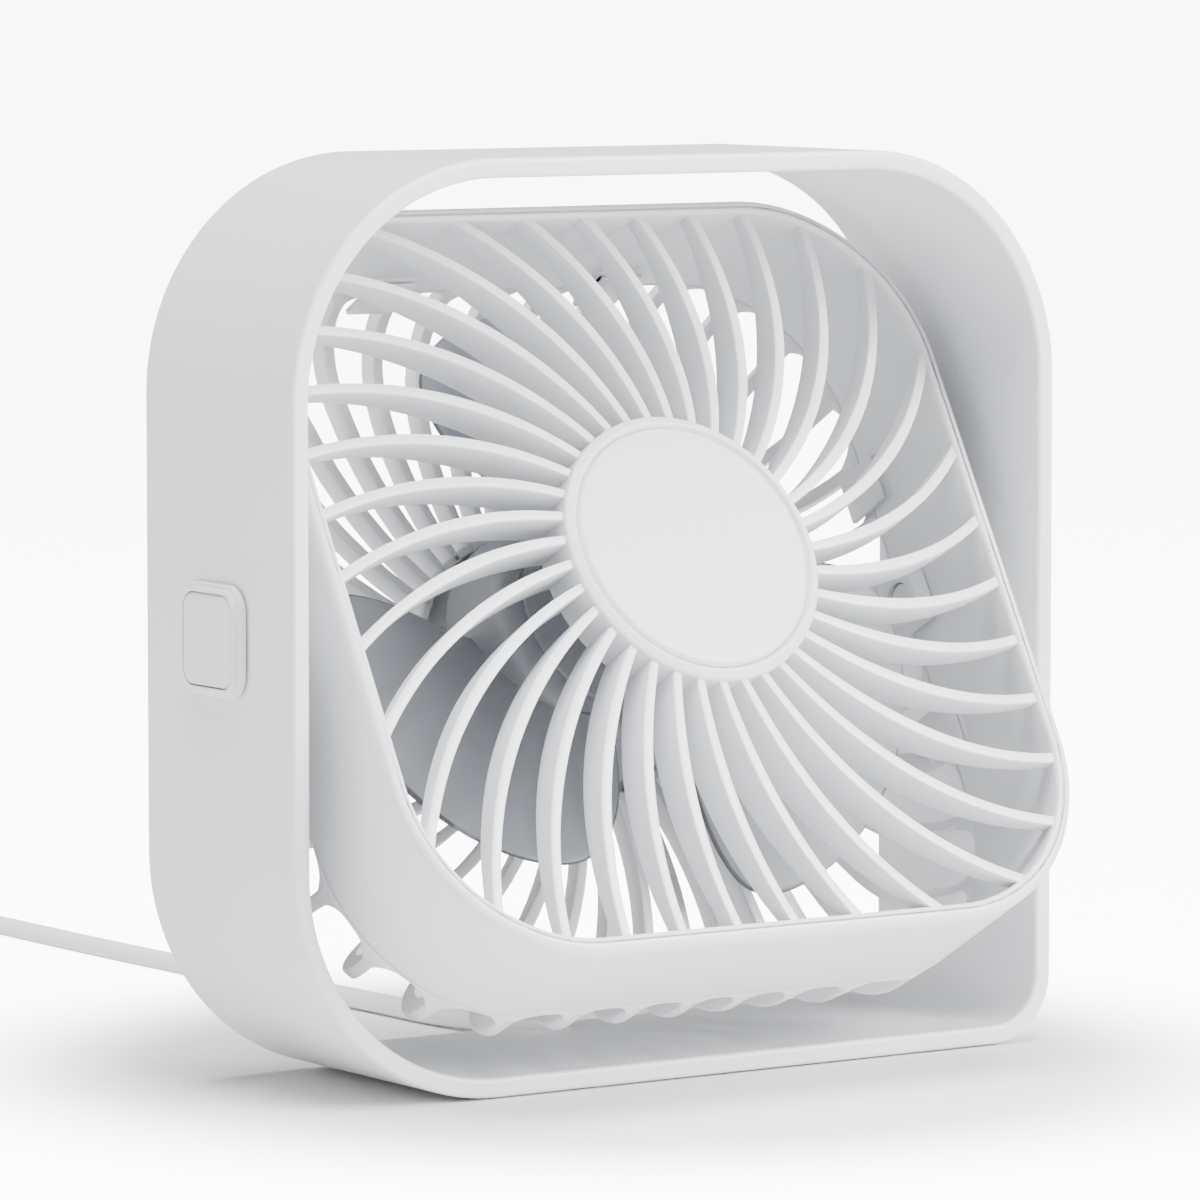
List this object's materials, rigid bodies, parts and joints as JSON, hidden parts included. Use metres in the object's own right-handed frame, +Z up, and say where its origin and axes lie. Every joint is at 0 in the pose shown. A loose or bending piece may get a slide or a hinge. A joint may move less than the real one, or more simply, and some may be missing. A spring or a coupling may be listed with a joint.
{
  "type": "desk fan",
  "caption": "Small square desk fan: a grilled fan head that tilts inside a square ring stand with rounded corners, with a side press switch and a coiled supply cord.",
  "frame": {"origin": "on the table, under the middle of the square ring stand", "axes": "+X to the right as seen from the front, -Y towards the front, where the air leaves, +Z up"},
  "size_m": [0.1503, 0.3091, 0.1457],
  "materials": {
    "white_plastic": "satin white",
    "button_plastic": "satin white",
    "blade_plastic": "satin light grey",
    "cord_sheath": "soft white sheath",
    "grey_rubber": "matt grey",
    "dark_parts": "matt black",
    "steel": "bright plated steel",
    "copper_wire": "enamelled copper",
    "circuit_board": "green solder mask"
  },
  "bodies": {
    "stand": {"frame_ring": "white_plastic", "foot_pad_1": "grey_rubber", "foot_pad_2": "grey_rubber", "foot_pad_3": "grey_rubber", "foot_pad_4": "grey_rubber", "switch_bezel": "white_plastic", "switch_board": "circuit_board", "tact_switch": "dark_parts", "pivot_housing_left": "white_plastic", "pivot_pin_right": "white_plastic", "friction_washer_left": "grey_rubber", "friction_washer_right": "grey_rubber", "pivot_screw_right": "steel", "pivot_cap_right": "white_plastic", "cord_gland": "cord_sheath", "supply_cord": "cord_sheath", "cord_coil": "cord_sheath", "coil_tie": "grey_rubber", "plug_cord": "cord_sheath", "plug_body": "cord_sheath", "plug_shell": "steel", "plug_tongue": "white_plastic"},
    "switch_button": {"power_button": "button_plastic"},
    "head": {"front_shell": "white_plastic", "hub_cap": "white_plastic", "rear_shell": "white_plastic", "pivot_bush_left": "white_plastic", "pivot_bush_right": "white_plastic", "bearing_rear": "steel", "bearing_front": "steel", "stator_core": "steel", "winding_1": "copper_wire", "winding_2": "copper_wire", "winding_3": "copper_wire", "winding_4": "copper_wire", "motor_board": "circuit_board", "motor_screw_1": "steel", "motor_screw_2": "steel", "motor_screw_3": "steel", "motor_lead": "cord_sheath"},
    "fan_wheel": {"impeller": "blade_plastic", "rotor_yoke": "steel", "rotor_magnet": "dark_parts", "motor_shaft": "steel", "thrust_washer": "grey_rubber"}
  },
  "joints": [
    {"name": "head_tilt", "type": "hinge", "parent": "stand", "child": "head", "pos_m": [0, 0, 0.0709], "axis": [-1, 0, 0], "range_deg": [-119.8, 60.2]},
    {"name": "wheel_spin", "type": "hinge", "parent": "head", "child": "fan_wheel", "pos_m": [0, 0, 0.0709], "axis": [0, -0.8678, 0.497], "continuous": true},
    {"name": "button_press", "type": "slide", "parent": "stand", "child": "switch_button", "axis": [1, 0, 0], "range_m": [0, 0.001], "stiffness_N_per_m": 400, "springref_m": -0.002}
  ]
}
